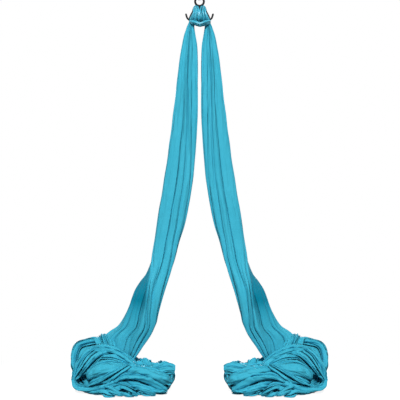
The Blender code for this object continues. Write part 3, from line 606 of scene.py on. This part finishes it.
# Tables of a photo row and a value there
TAIL_FOLD_SCALE = ((25, 1.75), (60, 1.4), (100, 1.25), (250, 1.25), (275, 1.5), (300, 1.1), (335, 0.9))
PANEL_EDGE = ((250, 151), (253, 152.6), (273, 151.2), (291, 149.4), (306, 147.6), (329, 140.0), (350, 133.0))
WING_DEPTH = ((300, 0.056), (330, 0.052), (362, 0.040))
# Painted shade on the wing: how much of the darker colour it gets, by row
WING_PAINTED_SHADE = ((248, 0.4), (262, 0.8), (300, 1), (310, 0.6), (320, 0.3), (332, 0))
WING_ROW = 246  # where the wing begins to lean back, within WING_ROWS
WING_ROWS = 8
WING_SLOPE = 1.6  # metres back to a metre sideways, at its front
WING_FLATTENING = 0.85  # share of the wing's own depth behind the middle that it loses
FLATTENING_WIDTH = 0.02
# Painted shade comes in over this many metres outside the front panel's edge
PAINTED_SHADE_WIDTH = 0.012


def by_row(rows_down, table):
    """The table's values at these rows of the photo."""
    rows, values = zip(*table)
    return np.interp(rows_down, rows, values)


def tail_route():
    top = TAIL_ROWS[0][0]
    rows = []
    for row, left, right, depth in TAIL_ROWS:
        share = min(1, (row - top) / (FOOT_ROW - top))
        forward = TAIL_FORWARD * min(1, max(0, (row - FORWARD_ROW) / FORWARD_ROWS))
        y = TAIL_TOP_DEPTH * (1 - share) - forward + FOOT_LEAN * max(0, row - FOOT_ROW)
        x, _, z = place((left + right) / 2, row, y)
        fuller = 1.0 + TAIL_FULLER * min(1, (row - top) / FULLER_ROWS)
        rows.append((x, y, z, fuller * (right - left) / 2 * PIXEL, depth))
    return rows


def tail_edges(rows_down):
    """The angles in turns between a tail's pleats, one row to a station, smoothed along the tail."""
    table = np.array(TAIL_PLEATS)
    edges = [np.interp(rows_down, table[:, 0], table[:, k]) for k in range(1, table.shape[1])]
    kernel = np.hanning(TAIL_BLUR) / np.hanning(TAIL_BLUR).sum()
    padded = [np.pad(edge, TAIL_BLUR // 2, mode="edge") for edge in edges]
    return np.column_stack([np.convolve(edge, kernel, mode="valid") for edge in padded])


def build_tails():
    route = tail_route()
    centre = catmull(route, TAIL_STATIONS)[0]
    rows_down = PHOTO_MIDDLE[1] - (centre[:, 2] - CAMERA_Z) / PIXEL
    pattern = pleat_pattern(
        len(TAIL_ZIGZAGS) + 1, TAIL_ZIGZAGS, seed=7, bulge=0.17, slit=0.34, lowest=0.94, crisp=1.5, tilt=0.3
    )
    grid, travelled, flat_run = bundle_grid(
        route,
        pattern,
        tail_edges(rows_down),
        TAIL_STATIONS,
        warp=0.004,
        ripple=0.012,
        creases=((0.0035, 0.030, 0.60), (0.0012, 0.012, 0.30)),
        seed=3,
        side=(-1, 0, 0),
        deepen=by_row(rows_down, TAIL_FOLD_SCALE),
    )
    # The wing: outside the front panel's edge the cloth is loose and leans back
    panel_x = CAMERA_X + (by_row(rows_down, PANEL_EDGE) - PHOTO_MIDDLE[0]) * PIXEL
    away = np.maximum(panel_x[:, None] - grid[..., 0], 0)
    deepest = by_row(rows_down, WING_DEPTH)[:, None]
    starts = np.clip((rows_down - WING_ROW) / WING_ROWS, 0, 1)[:, None]
    behind = np.maximum(grid[..., 1], 0)
    lean = deepest * np.tanh(WING_SLOPE * away / deepest)
    grid[..., 1] += starts * (lean - WING_FLATTENING * behind * np.tanh(away / FLATTENING_WIDTH))
    grid = on_floor(grid)
    # Painted shade: the wing gets a darker colour, standing in for the shade where it turns away from the
    # light
    painted_shade = np.clip(away / PAINTED_SHADE_WIDTH, 0, 1) * by_row(rows_down, WING_PAINTED_SHADE)[:, None]
    for name, points in (("left", grid), ("right", mirror_grid(grid))):
        tail = add_cloth(f"silk_tail_{name}_cloth", points, flat_run, travelled, SILK_HANGING, painted_shade)
        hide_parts(f"silk_tail_{name}")
        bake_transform(tail)


build_tails()


# Heap: bundles of cloth; rows are (column, row, depth, half width in pixels, half depth in metres)
HEAP_BUNDLES = {
    "core": dict(
        rows=[(88.5, 378.5, -0.030, 11.5, 0.055), (101, 371.5, -0.044, 16, 0.078),
              (114, 369, -0.044, 16, 0.090), (128, 373, -0.046, 14, 0.088), (144, 377, -0.066, 11, 0.078),
              (160, 379, -0.084, 8.5, 0.060)],
        pleats=10, slit=0.7, turn=(0.0, 0.2), seed=20, fold=(0.02, 0.10),
    ),
    "back_low": dict(
        rows=[(166, 380, -0.018, 8, 0.045), (150, 378, 0.022, 11.5, 0.050), (130, 377, 0.060, 14, 0.050),
              (110, 374.5, 0.068, 16.5, 0.048), (93, 373.5, 0.046, 17.5, 0.050), (80, 378, 0.006, 13, 0.046)],
        pleats=9, slit=0.6, turn=(0.0, 0.2), seed=19, fold=(0.04, 0.12),
    ),
    "back_top": dict(
        rows=[(143, 369, 0.030, 6, 0.040), (130, 362.5, 0.062, 8.5, 0.046), (116, 355, 0.072, 10, 0.046),
              (100, 353, 0.066, 10.5, 0.046), (88, 357.5, 0.040, 11, 0.044)],
        pleats=8, slit=0.6, turn=(0.1, 0.3), seed=21, fold=(0.04, 0.12),
    ),
    "back_loop": dict(
        rows=[(116, 350, 0.030, 7, 0.040), (103, 343.5, 0.052, 7.5, 0.042), (91, 342.5, 0.054, 7.5, 0.042),
              (80.5, 347, 0.034, 8, 0.042), (76.5, 359, 0.008, 7, 0.042), (78, 372, -0.012, 7, 0.042),
              (81.5, 383, -0.026, 8.5, 0.042), (92, 388, -0.036, 8, 0.036)],
        pleats=6, slit=0.35, turn=(0.0, 0.10), seed=11, fold=(0.03, 0.04), fade=0.15, bulge=0.75,
    ),
    "gathers": dict(
        rows=[(99, 340.5, 0.072, 7, 0.014), (100.5, 338, 0.050, 9, 0.020), (102.5, 340, 0.018, 9.5, 0.030),
              (106, 346.5, -0.012, 9.5, 0.034), (110, 353, -0.034, 7, 0.024)],
        pleats=10, slit=0.2, turn=(0.0, 0.0), seed=41, fold=(0.02, 0.03), side=(-0.90, 0, -0.43),
        fade=0.0, rough=0.12, bulge=0.75,
    ),
    "diagonal_outer": dict(
        rows=[(113, 350, -0.018, 3, 0.020), (101, 348, -0.042, 4, 0.026), (90, 352, -0.056, 4.2, 0.028),
              (82.5, 360, -0.064, 4.0, 0.028), (77, 370, -0.068, 3.6, 0.028), (75.5, 380, -0.066, 3.2, 0.026),
              (78, 387, -0.066, 2.6, 0.022)],
        pleats=4, slit=0.5, turn=(0.1, 0.3), seed=12, fold=(0.03, 0.08),
    ),
    "diagonal_middle": dict(
        rows=[(118, 353, -0.030, 3, 0.020), (106, 350, -0.062, 4, 0.026), (95, 354, -0.080, 4.2, 0.028),
              (87, 362, -0.090, 3.8, 0.028), (80.5, 371, -0.094, 3.2, 0.026),
              (75, 378.5, -0.092, 2.4, 0.022)],
        pleats=3, slit=0.5, turn=(0.0, 0.3), seed=22, fold=(0.03, 0.08),
    ),
    "diagonal_inner": dict(
        rows=[(118, 356, -0.050, 3, 0.020), (108, 354.5, -0.076, 3.6, 0.026), (99.5, 357, -0.094, 3.6, 0.028),
              (92, 363, -0.104, 3.4, 0.028), (85, 370, -0.108, 3.0, 0.026), (79, 376, -0.106, 2.2, 0.020)],
        pleats=4, slit=0.5, turn=(0.1, 0.4), seed=23, fold=(0.03, 0.08),
    ),
    "shoulder": dict(
        rows=[(90, 349, -0.052, 3.5, 0.030), (101, 348.5, -0.070, 5, 0.034), (113, 351, -0.078, 5.6, 0.036),
              (124, 356.5, -0.076, 5, 0.036), (133, 363, -0.068, 3.6, 0.032), (139, 368, -0.060, 2.5, 0.026)],
        pleats=3, slit=0.7, turn=(0.0, 0.05), seed=13, fold=(0.03, 0.06), bulge=0.42,
    ),
    "under_shoulder": dict(
        rows=[(101, 357, -0.085, 2.2, 0.020), (109, 357.5, -0.100, 3.4, 0.028),
              (118, 360, -0.106, 3.8, 0.030), (127, 364.5, -0.102, 3.2, 0.028),
              (135, 370, -0.092, 2.4, 0.024)],
        pleats=4, slit=0.6, turn=(0.0, 0.2), seed=24, fold=(0.04, 0.10),
    ),
    "leaf": dict(
        rows=[(88, 379, -0.104, 2.5, 0.024), (92, 374, -0.122, 5.5, 0.036), (98.5, 370, -0.134, 8, 0.044),
              (107, 368, -0.138, 8.5, 0.046), (116, 367, -0.130, 6.5, 0.042),
              (126, 365.5, -0.112, 3.6, 0.034)],
        pleats=3, slit=0.7, turn=(0.02, 0.06), seed=14, fold=(0.06, 0.09),
    ),
    "fine_folds": dict(
        rows=[(90, 384, -0.128, 3.0, 0.026), (100, 380.5, -0.152, 4.0, 0.032),
              (111, 375.5, -0.164, 4.2, 0.034), (121, 370, -0.160, 3.6, 0.032),
              (130, 365, -0.138, 2.6, 0.026)],
        pleats=6, slit=0.6, turn=(0.1, 0.3), seed=25, fold=(0.04, 0.06),
    ),
    "lower_band": dict(
        rows=[(73.2, 379.5, -0.070, 2.4, 0.026), (77.4, 386.4, -0.096, 3.8, 0.032),
              (88, 389.8, -0.126, 4.4, 0.034), (101, 389.5, -0.146, 5.0, 0.036),
              (114, 386, -0.154, 5.4, 0.038), (127, 382.5, -0.150, 4, 0.034)],
        pleats=4, slit=0.6, turn=(0.0, 0.3), seed=15, fold=(0.03, 0.08),
    ),
    "front_foot": dict(
        rows=[(86, 393, -0.108, 3, 0.034), (98, 393.5, -0.138, 4, 0.036), (112, 393, -0.150, 4.2, 0.036),
              (127, 393, -0.150, 4.2, 0.036), (142, 393.5, -0.146, 4, 0.034),
              (154, 392.5, -0.130, 3.4, 0.030)],
        pleats=5, slit=0.6, turn=(0.2, 0.6), seed=26, fold=(0.06, 0.12),
    ),
    "skirt": dict(
        rows=[(81.5, 387, -0.055, 6, 0.045), (100, 388, -0.092, 7.5, 0.050), (118, 387, -0.106, 8, 0.050),
              (136, 387.5, -0.108, 8, 0.048), (152, 389, -0.100, 6, 0.042)],
        pleats=8, slit=0.6, turn=(0.0, 0.3), seed=44, fold=(0.06, 0.12),
    ),
    "fan_back": dict(
        rows=[(122, 369, -0.030, 5, 0.040), (134, 367.5, -0.032, 6, 0.044), (146, 369, -0.036, 6.8, 0.048),
              (158, 370.5, -0.048, 7, 0.050), (167.4, 375, -0.066, 6.9, 0.048),
              (167.2, 383, -0.090, 5.4, 0.042), (165, 390, -0.100, 4.4, 0.034)],
        pleats=6, slit=0.6, turn=(0.0, 0.2), seed=17, fold=(0.04, 0.10),
    ),
    "fan_top": dict(
        rows=[(124, 371, -0.086, 3, 0.026), (135, 369, -0.098, 4.4, 0.034), (147, 370, -0.112, 5.2, 0.038),
              (158, 370, -0.118, 5.8, 0.038), (167.5, 369.2, -0.114, 6.6, 0.036),
              (174.6, 370.5, -0.108, 6.4, 0.030)],
        pleats=5, slit=0.6, turn=(0.0, 0.2), seed=27, fold=(0.04, 0.09), tuck=0.70, bulge=0.62,
    ),
    "fan_middle": dict(
        rows=[(116, 374, -0.118, 2.6, 0.026), (128, 369.5, -0.128, 5.0, 0.034),
              (141, 370.5, -0.146, 6.0, 0.038), (153, 374, -0.150, 6.6, 0.038),
              (164, 378.5, -0.144, 6.8, 0.036), (171, 381.5, -0.132, 5.4, 0.030)],
        pleats=4, slit=0.6, turn=(0.0, 0.2), seed=16, fold=(0.04, 0.09), tuck=0.60, bulge=0.45,
    ),
    "fan_low": dict(
        rows=[(110, 382, -0.144, 2.8, 0.024), (121, 377.5, -0.156, 4.8, 0.032),
              (133, 377.5, -0.164, 6.0, 0.036), (145, 381, -0.164, 6.4, 0.036),
              (156, 386, -0.158, 6.0, 0.034), (166, 389.5, -0.146, 5.0, 0.028)],
        pleats=4, slit=0.6, turn=(0.0, 0.2), seed=28, fold=(0.05, 0.09), tuck=0.60, bulge=0.50,
    ),
    "scallop_left": dict(
        rows=[(142, 368, 0.030, 5, 0.012), (143.5, 362.5, 0.012, 6.8, 0.015),
              (145, 360.6, -0.022, 7.6, 0.018), (147, 365.0, -0.042, 7.0, 0.018),
              (149, 371, -0.046, 5, 0.012)],
        pleats=4, slit=0.3, turn=(0.0, 0.0), seed=29, fold=(0.03, 0.05), side=(-0.99, 0, 0.10),
        rough=0.12, bulge=0.50, fade=0.1,
    ),
    "scallop_right": dict(
        rows=[(160, 369, 0.020, 5, 0.012), (160.5, 365, 0.002, 6.4, 0.015), (162, 364, -0.034, 7.0, 0.020),
              (165, 366, -0.076, 6.4, 0.020), (168, 370, -0.090, 4.8, 0.016),
              (170.5, 374, -0.096, 3.2, 0.012)],
        pleats=5, slit=0.3, turn=(0.0, 0.0), seed=30, fold=(0.03, 0.05), side=(-0.99, 0, 0.06),
        rough=0.3, bulge=0.55, fade=0.1,
    ),
    "crumple_a": dict(
        rows=[(104, 385, -0.146, 2.2, 0.020), (110, 388.5, -0.176, 3.4, 0.028),
              (116, 392.5, -0.196, 3.6, 0.026), (123, 396.5, -0.200, 2.6, 0.020)],
        pleats=3, slit=0.5, turn=(0.0, 0.5), seed=18, fold=(0.08, 0.14), tuck=0.6,
    ),
    "crumple_b": dict(
        rows=[(118, 383, -0.142, 2.2, 0.020), (125, 386.5, -0.172, 3.4, 0.028),
              (131.5, 391, -0.194, 3.8, 0.026), (138, 396, -0.198, 2.8, 0.020)],
        pleats=3, slit=0.5, turn=(0.2, 0.6), seed=42, fold=(0.08, 0.14), tuck=0.6,
    ),
    "crumple_c": dict(
        rows=[(131, 384.5, -0.136, 2.2, 0.020), (140, 387.5, -0.164, 3.2, 0.028),
              (148, 391.5, -0.180, 3.4, 0.026), (155, 395.5, -0.172, 2.6, 0.020)],
        pleats=3, slit=0.5, turn=(0.0, 0.5), seed=43, fold=(0.08, 0.14), tuck=0.6,
    ),
    "crumple_d": dict(
        rows=[(96, 391.5, -0.140, 2.0, 0.020), (103, 393, -0.176, 3.0, 0.026), (109, 396, -0.196, 3.0, 0.024),
              (115, 398, -0.200, 2.0, 0.018)],
        pleats=3, slit=0.5, turn=(0.0, 0.5), seed=45, fold=(0.08, 0.14), tuck=0.6,
    ),
    "crumple_e": dict(
        rows=[(120, 393, -0.166, 2.0, 0.018), (125, 394.5, -0.190, 2.6, 0.022),
              (130, 397, -0.204, 2.4, 0.020), (134, 398.5, -0.206, 1.6, 0.014)],
        pleats=3, slit=0.5, turn=(0.3, 0.7), seed=47, fold=(0.08, 0.14), tuck=0.6,
    ),
    "fan_edge": dict(
        rows=[(147, 388, -0.156, 2.8, 0.020), (154, 390.5, -0.158, 4.0, 0.026),
              (161, 392, -0.150, 4.0, 0.026), (167, 392.5, -0.134, 2.8, 0.020)],
        pleats=4, slit=0.5, turn=(0.0, 0.3), seed=46, fold=(0.06, 0.10),
    ),
}
STATION_STEP = 0.0036  # metres between the rows of points of a heap's bundle
CURVE_EXCESS = 1.03  # how much longer a route's curve is taken to be than the straight lines between rows
HEAP_SLIT = 0.75  # scale of the slits in HEAP_BUNDLES
HEAP_CREASES = ((0.020, 0.034, 0.13), (0.010, 0.014, 0.05))
NOISE_SEEDS = 3  # a bundle's noise takes its seed times this


def add_heap_bundle(label, spec):
    """A bundle in both heaps.

    turn, tuck, fade and side are as in bundle_grid, and bulge as in pleat_pattern, where slit goes
    scaled by HEAP_SLIT. fold is how far the cloth grows, along and across, before it buckles. rough
    scales its fine creases.
    """
    route = place_rows(spec["rows"])
    length = np.linalg.norm(np.diff(route[:, :3], axis=0), axis=1).sum()
    stations = int(length * CURVE_EXCESS / STATION_STEP)
    pattern = pleat_pattern(
        spec["pleats"], 0, seed=spec["seed"], bulge=spec.get("bulge", 0.60), slit=HEAP_SLIT * spec["slit"],
        lowest=0.80, crisp=1.15, tilt=0.3,
    )
    rough = spec.get("rough", 1.0)
    grid, travelled, flat_run = bundle_grid(
        route,
        pattern,
        random_edges(spec["pleats"], spec["seed"]),
        stations,
        warp=0.09,
        ripple=0.14,
        creases=[(height * rough, wide, long) for height, wide, long in HEAP_CREASES],
        seed=spec["seed"] * NOISE_SEEDS,
        turn=spec["turn"],
        power=2.2,
        side=spec.get("side"),
        tuck=spec.get("tuck", 0.45),
        fade=spec.get("fade", 0.5), skew=0.25,
    )
    along, across = spec["fold"]
    grid = on_floor(crumple(grid, along, across, seed=spec["seed"]))
    for name, points in (("left", grid), ("right", mirror_grid(grid))):
        piece = add_cloth(f"heap_{label}_{name}", points, flat_run, travelled, SILK_LAID)
        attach(piece, "rig")
        if label == "core":
            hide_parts(f"silk_heap_{name}")


for label, spec in HEAP_BUNDLES.items():
    add_heap_bundle(label, spec)


# Hitch: rows are (column, row, depth, half width in pixels, half depth in metres)
HITCH_LOBE = [
    (194.0, 25.0, -0.020, 5.0, 0.010),
    (195.2, 21.5, -0.024, 6.0, 0.014),
    (195.3, 18.5, -0.033, 5.6, 0.022),
    (195.5, 16.0, -0.037, 5.0, 0.025),
    (196.1, 13.2, -0.035, 4.4, 0.024),
    (196.2, 10.6, -0.027, 3.5, 0.019),
    (195.9, 8.4, -0.014, 2.8, 0.012),
    (195.8, 7.0, -0.001, 2.8, 0.010),
    (196.1, 8.6, 0.013, 3.8, 0.010),
    (196.0, 12.0, 0.020, 4.6, 0.012),
    (195.6, 17.0, 0.021, 5.2, 0.013),
    (193.4, 20.5, 0.017, 4.2, 0.013),
    (191.2, 22.0, 0.010, 2.6, 0.012),
]
HITCH_BAND = [
    (192.6, 22.0, 0.012, 2.2, 0.009),
    (190.9, 21.8, -0.002, 2.3, 0.009),
    (190.6, 21.8, -0.020, 2.4, 0.009),
    (192.0, 22.0, -0.036, 2.6, 0.010),
    (195.2, 22.8, -0.048, 2.7, 0.011),
    (197.6, 23.8, -0.052, 2.7, 0.012),
    (200.0, 24.5, -0.053, 2.7, 0.012),
    (202.4, 23.8, -0.052, 2.7, 0.012),
    (204.8, 22.8, -0.048, 2.7, 0.011),
    (208.0, 22.0, -0.036, 2.6, 0.010),
    (209.4, 21.8, -0.020, 2.4, 0.009),
    (209.1, 21.8, -0.002, 2.3, 0.009),
    (207.4, 22.0, 0.012, 2.2, 0.009),
]
LOBE_PLEATS = (-0.10, 0.07, 0.15, 0.35, 0.46, 0.66, 0.90)  # angles in turns between the pleats
BAND_PLEATS = (-0.05, 0.10, 0.22, 0.52, 0.74, 0.95)
LOBE_STATIONS = 90
BAND_STATIONS = 110
LOBE_FRONT = -0.016  # depth in front of which a lobe faces the viewer
LOBE_TURN = 0.030  # depth within which it turns round
BAND_MIDDLE = -0.005  # depth of the line that the band faces away from


def hitch_bundle(rows, stations, facing, edges, seed):
    pattern = pleat_pattern(
        len(edges) - 1, 1, seed=seed, bulge=0.50, slit=0.30, lowest=0.88, crisp=1.6, tilt=0.2
    )
    return bundle_grid(
        place_rows(rows),
        pattern,
        edges,
        stations,
        warp=0.03,
        ripple=0.08,
        creases=((0.0040, 0.016, 0.05),),
        seed=seed,
        turn=(-0.03, 0.03),
        power=2.2,
        facing=facing,
        fade=0.15,
    )


def add_hitch_piece(name, grid, travelled, flat_run):
    piece = add_cloth(name, grid, flat_run, travelled, SILK_STRETCHED_PAINTED_SHADE)
    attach(piece, "eight")
    return piece


def build_hitch():
    # A lobe's flat side faces forward in front of the figure-8, up where it goes through, and back behind it
    depths = catmull(place_rows(HITCH_LOBE), LOBE_STATIONS)[0][:, 1]
    way = math.pi * np.clip((depths - LOBE_FRONT) / LOBE_TURN, 0, 1)
    facing = np.column_stack([0 * way, -np.cos(way), np.sin(way)])
    grid, travelled, flat_run = hitch_bundle(HITCH_LOBE, LOBE_STATIONS, facing, LOBE_PLEATS, seed=31)
    add_hitch_piece("hitch_lobe_left", grid, travelled, flat_run)
    add_hitch_piece("hitch_lobe_right", mirror_grid(grid), travelled, flat_run)

    # The band's flat side faces away from the middle of the figure-8
    facing = catmull(place_rows(HITCH_BAND), BAND_STATIONS)[0][:, :3] * (1, 1, 0) - (0, BAND_MIDDLE, 0)
    grid, travelled, flat_run = hitch_bundle(HITCH_BAND, BAND_STATIONS, facing, BAND_PLEATS, seed=33)
    band = add_hitch_piece("hitch_band", grid, travelled, flat_run)
    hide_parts("silk_hitch")


build_hitch()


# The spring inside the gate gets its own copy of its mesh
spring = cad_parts["gate_spring"]
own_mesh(spring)


# Stage
FLOOR_SIZE = 14
FLOOR_DROP = 0.0005  # below the cloth's floor
FLOOR_GREY = (0.28, 0.283, 0.286, 1)  # the light that the floor sends back to the cloth
NEAR_GLOW = 0.86  # what the camera sees of the floor by its own light, round the object
NEAR_RADIUS = 0.85
FAR_RADIUS = 1.7  # from here outwards the floor is plain white
FLOOR_SQUEEZE = (1.0, 1.8, 0.0)  # the round area is an oval, narrower along Y
WORLD_LIGHT = 0.05
WHITE = (1, 1, 1, 1)
SUN_ANGLE = math.radians(8)


def floor_material():
    """A diffuse floor that looks white to the camera and keeps the object's soft shadow near it."""
    made, tree, link = new_material("pale_floor")
    tree.nodes.clear()
    out = add_node(tree, "OutputMaterial")
    diffuse = add_node(tree, "BsdfDiffuse", {"Color": FLOOR_GREY})
    path = add_node(tree, "LightPath")
    near_glow = add_node(tree, "Emission")
    amount = add_node(tree, "Math", {1: NEAR_GLOW}, operation="MULTIPLY")
    link(path.outputs["Is Camera Ray"], amount.inputs[0])
    link(amount.outputs["Value"], near_glow.inputs["Strength"])
    near = add_node(tree, "AddShader")
    link(diffuse.outputs["BSDF"], near.inputs[0])
    link(near_glow.outputs["Emission"], near.inputs[1])
    far = add_node(tree, "MixShader")
    far_glow = add_node(tree, "Emission")
    link(path.outputs["Is Camera Ray"], far.inputs["Fac"])
    link(diffuse.outputs["BSDF"], far.inputs[1])
    link(far_glow.outputs["Emission"], far.inputs[2])
    where = add_node(tree, "TexCoord")
    squeeze = add_node(tree, "VectorMath", {1: FLOOR_SQUEEZE}, operation="MULTIPLY")
    link(where.outputs["Object"], squeeze.inputs[0])
    radius = add_node(tree, "VectorMath", operation="LENGTH")
    link(squeeze.outputs["Vector"], radius.inputs[0])
    fade = add_node(
        tree, "MapRange", {"From Min": NEAR_RADIUS, "From Max": FAR_RADIUS}, interpolation_type="SMOOTHSTEP"
    )
    link(radius.outputs["Value"], fade.inputs["Value"])
    mix = add_node(tree, "MixShader")
    link(fade.outputs["Result"], mix.inputs["Fac"])
    link(near.outputs["Shader"], mix.inputs[1])
    link(far.outputs["Shader"], mix.inputs[2])
    link(mix.outputs["Shader"], out.inputs["Surface"])
    return made


def stage():
    bpy.ops.mesh.primitive_plane_add(size=FLOOR_SIZE)
    floor = bpy.context.object
    floor.name = "floor"
    floor.location = (0, 0, FLOOR - FLOOR_DROP)
    floor.data.materials.append(floor_material())

    # A dim white world, which the camera and glossy metal see as white
    world = bpy.data.worlds.new("studio")
    bpy.context.scene.world = world
    world.use_nodes = True
    tree = world.node_tree
    link = tree.links.new
    tree.nodes.clear()
    out = add_node(tree, "OutputWorld")
    light = add_node(tree, "Background", {"Color": WHITE, "Strength": WORLD_LIGHT})
    white = add_node(tree, "Background", {"Color": WHITE, "Strength": 1.0})
    path = add_node(tree, "LightPath")
    seen = add_node(tree, "Math", operation="MAXIMUM")
    link(path.outputs["Is Camera Ray"], seen.inputs[0])
    link(path.outputs["Is Glossy Ray"], seen.inputs[1])
    mix = add_node(tree, "MixShader")
    link(seen.outputs["Value"], mix.inputs["Fac"])
    link(light.outputs["Background"], mix.inputs[1])
    link(white.outputs["Background"], mix.inputs[2])
    link(mix.outputs["Shader"], out.inputs["Surface"])


def lamp(kind, name, place_at, target, power, size=(1, 1)):
    data = bpy.data.lights.new(name, kind)
    data.energy = power
    if kind == "SUN":
        data.angle = SUN_ANGLE
    else:
        data.shape = "RECTANGLE"
        data.size, data.size_y = size
    made = bpy.data.objects.new(name, data)
    made.visible_camera = False
    bpy.context.collection.objects.link(made)
    made.location = place_at
    made.rotation_euler = (Vector(target) - Vector(place_at)).to_track_quat("-Z", "Y").to_euler()


stage()
# Place, what it points at, power and size
MIDDLE = (0, 0, -1.1)
lamp("SUN", "key", (0.0, -4.0, 1.3), MIDDLE, 3.18)
lamp("AREA", "strip", (0.0, -1.0, -1.15), (0, 0, -1.15), 1.0, (0.2, 1.6))
lamp("AREA", "top", (0.0, -1.2, 1.0), (0, 0, -0.12), 11, (0.3, 0.3))
lamp("AREA", "left_side", (-3.2, 1.2, -0.2), MIDDLE, 22, (0.8, 1.8))
lamp("AREA", "right_side", (3.2, 1.2, -0.2), MIDDLE, 22, (0.8, 1.8))
lamp("AREA", "back", (0.0, 3.2, -0.6), MIDDLE, 100, (2.4, 1.6))

camera_data = bpy.data.cameras.new("camera")
camera_data.lens = LENS
camera_data.sensor_width = SENSOR_WIDTH
camera = bpy.data.objects.new("camera", camera_data)
bpy.context.collection.objects.link(camera)
camera.location = (CAMERA_X, CAMERA_Y, CAMERA_Z)
camera.rotation_euler = (math.pi / 2, 0, 0)
bpy.context.scene.camera = camera
bpy.context.scene.view_settings.view_transform = "Standard"
